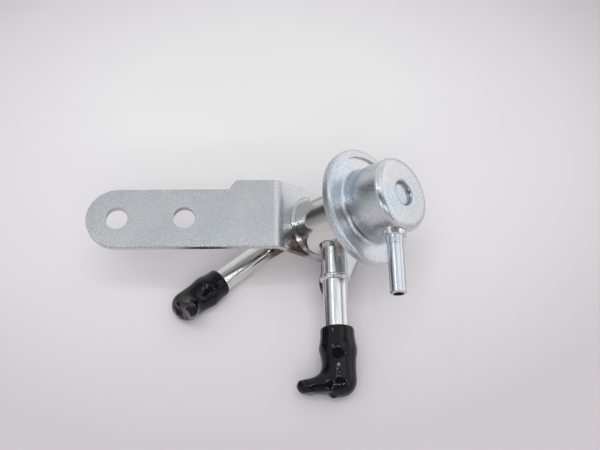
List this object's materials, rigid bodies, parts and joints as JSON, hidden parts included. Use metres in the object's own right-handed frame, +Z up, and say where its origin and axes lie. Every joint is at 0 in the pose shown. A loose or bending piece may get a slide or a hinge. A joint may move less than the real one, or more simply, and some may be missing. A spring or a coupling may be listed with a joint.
{
  "type": "fuel pressure regulator",
  "caption": "Round diaphragm fuel pressure regulator brazed to a bent bracket with bolt holes, with vacuum nipple, straight inlet pipe, bent return pipe and soft boot caps on both fuel pipes.",
  "frame": {"origin": "centre of the bounding box on the table the part lies on", "axes": "+Z up from the table, +X from the rounded end of the bracket arm towards the regulator, +Y away from the inlet cap"},
  "size_m": [0.1066, 0.0748, 0.0515],
  "materials": {
    "bracket_plate": "zinc plated, satin, bluish",
    "drawn_plate": "zinc plated, bright, slightly yellow",
    "pipe_plate": "bright plated tube",
    "cap_vinyl": "glossy soft black vinyl",
    "diaphragm_rubber": "fabric-backed rubber",
    "valve_brass": "turned",
    "ball_steel": "polished",
    "inner_steel": "pressed sheet",
    "spring_steel": "drawn wire",
    "braze": "plated over the brazed seam"
  },
  "bodies": {
    "regulator": {"bracket": "bracket_plate", "fuel_housing": "drawn_plate", "spring_cover": "drawn_plate", "diaphragm": "diaphragm_rubber", "main_spring": "spring_steel", "spring_seat": "inner_steel", "inlet_pipe": "pipe_plate", "return_pipe": "pipe_plate", "vacuum_nipple": "pipe_plate", "inlet_cap": "cap_vinyl", "return_cap": "cap_vinyl", "housing_braze": "braze", "inlet_braze": "braze", "return_braze": "braze", "nipple_braze": "braze"},
    "valve": {"spring_plate": "inner_steel", "valve_holder": "valve_brass", "valve_ball": "ball_steel", "valve_disc": "inner_steel", "disc_retainer": "valve_brass"}
  },
  "joints": [
    {"name": "valve_lift", "type": "slide", "parent": "regulator", "child": "valve", "axis": [0.7078, -0.2632, 0.6556], "range_m": [0, 0.0008], "stiffness_N_per_m": 8000, "springref_m": -0.004, "deforming": ["main_spring", "diaphragm"]}
  ]
}
